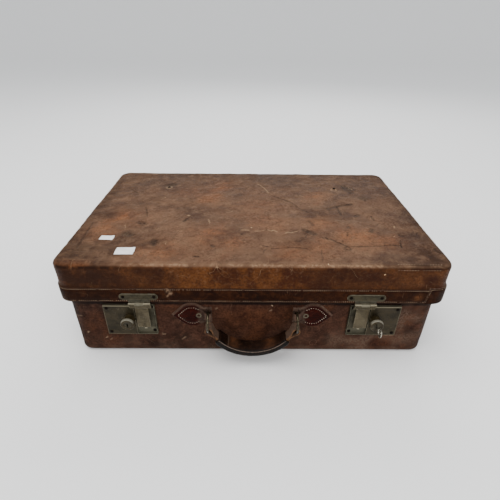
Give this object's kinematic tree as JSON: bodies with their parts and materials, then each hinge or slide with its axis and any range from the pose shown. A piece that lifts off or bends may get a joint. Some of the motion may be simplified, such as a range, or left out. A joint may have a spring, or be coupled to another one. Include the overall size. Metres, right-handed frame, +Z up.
{
  "type": "leather travel case",
  "caption": "Old leather travel case with an overlapping hinged lid, key locks with swinging hasps, and a ring-hung carrying handle on the front.",
  "frame": {"origin": "centre of the flat base, on the ground", "axes": "+X along the case to the right seen from the locks, +Y from the locks to the back hinges, +Z up"},
  "size_m": [0.6148, 0.4349, 0.1862],
  "materials": {
    "lid_leather": "worn and polished, mottled tan brown",
    "body_leather": "dark brown, dry and scuffed",
    "band_leather": "brown with pale stitching",
    "trim_leather": "dull brown",
    "tab_leather": "glossy oxblood with pale stitching",
    "handle_leather": "dark brown, polished by hands",
    "board": "pressed fibre board",
    "lining": "woven cotton",
    "lock_metal": "dull nickel plate with olive patina",
    "bare_metal": "bare worn metal",
    "ring_metal": "tarnished wire",
    "dark_metal": "dark tarnished rivet heads",
    "paper": "blank matt paper"
  },
  "bodies": {
    "case_body": {"body_leather": "body_leather", "body_board": "board", "body_lining": "lining", "mouth_binding": "trim_leather", "left_lock_plate": "lock_metal", "right_lock_plate": "lock_metal", "left_lock_cover": "lock_metal", "right_lock_cover": "lock_metal", "left_barrel": "lock_metal", "right_barrel": "lock_metal", "lock_rivets": "dark_metal", "left_tab": "tab_leather", "right_tab": "tab_leather", "tab_patches": "trim_leather", "tab_rivets": "lock_metal", "hinge_body_leaves": "lock_metal", "hinge_pins": "bare_metal", "hinge_body_rivets": "dark_metal"},
    "lid": {"lid_leather": "lid_leather", "lid_board": "board", "lid_lining": "lining", "lid_band": "band_leather", "band_lap": "band_leather", "lid_top_rivets": "dark_metal", "left_hasp_plate": "lock_metal", "right_hasp_plate": "lock_metal", "hasp_pins": "bare_metal", "hasp_rivets": "dark_metal", "hinge_lid_leaves": "lock_metal", "hinge_lid_rivets": "dark_metal", "paper_labels": "paper"},
    "left_hasp": {"left_flap": "lock_metal"},
    "right_hasp": {"right_flap": "lock_metal"},
    "left_plug": {"left_key_plug": "lock_metal"},
    "right_plug": {"right_key_plug": "lock_metal"},
    "left_bolt_slide": {"left_bolt": "bare_metal"},
    "right_bolt_slide": {"right_bolt": "bare_metal"},
    "key_body": {"key": "bare_metal"},
    "handle": {"handle_strap": "handle_leather", "handle_grip": "handle_leather"},
    "left_ring_body": {"left_ring": "ring_metal"},
    "right_ring_body": {"right_ring": "ring_metal"}
  },
  "joints": [
    {"name": "lid_hinge", "type": "hinge", "parent": "case_body", "child": "lid", "pos_m": [0, 0.1966, 0.1132], "axis": [-1, 0, 0], "range_deg": [0, 100]},
    {"name": "left_hasp_swing", "type": "hinge", "parent": "lid", "child": "left_hasp", "pos_m": [-0.1775, -0.2016, 0.1147], "axis": [-1, 0, 0], "range_deg": [0, 170]},
    {"name": "right_hasp_swing", "type": "hinge", "parent": "lid", "child": "right_hasp", "pos_m": [0.1775, -0.2016, 0.1147], "axis": [-1, 0, 0], "range_deg": [0, 170]},
    {"name": "left_key_turn", "type": "hinge", "parent": "case_body", "child": "left_plug", "pos_m": [-0.1997, -0.2, 0.079], "axis": [0, -1, 0], "range_deg": [0, 90]},
    {"name": "right_key_turn", "type": "hinge", "parent": "case_body", "child": "right_plug", "pos_m": [0.1997, -0.2, 0.079], "axis": [0, 1, 0], "range_deg": [0, 90]},
    {"name": "left_bolt_throw", "type": "slide", "parent": "case_body", "child": "left_bolt_slide", "axis": [1, 0, 0], "range_m": [0, 0.004]},
    {"name": "right_bolt_throw", "type": "slide", "parent": "case_body", "child": "right_bolt_slide", "axis": [-1, 0, 0], "range_m": [0, 0.004]},
    {"name": "key_draw", "type": "slide", "parent": "right_plug", "child": "key_body", "axis": [0, -1, 0], "range_m": [0, 0.012]},
    {"name": "handle_swing", "type": "hinge", "parent": "case_body", "child": "handle", "pos_m": [0, -0.2104, 0.087], "axis": [-1, 0, 0], "range_deg": [0, 160]},
    {"name": "left_ring_turn", "type": "hinge", "parent": "case_body", "child": "left_ring_body", "pos_m": [-0.07, -0.2104, 0.087], "axis": [1, 0, 0], "continuous": true},
    {"name": "right_ring_turn", "type": "hinge", "parent": "case_body", "child": "right_ring_body", "pos_m": [0.07, -0.2104, 0.087], "axis": [1, 0, 0], "continuous": true}
  ],
  "couplings": [
    {"joint": "left_key_turn", "follows": "left_bolt_throw", "rad_per_m": 392.69},
    {"joint": "right_key_turn", "follows": "right_bolt_throw", "rad_per_m": 392.69}
  ]
}
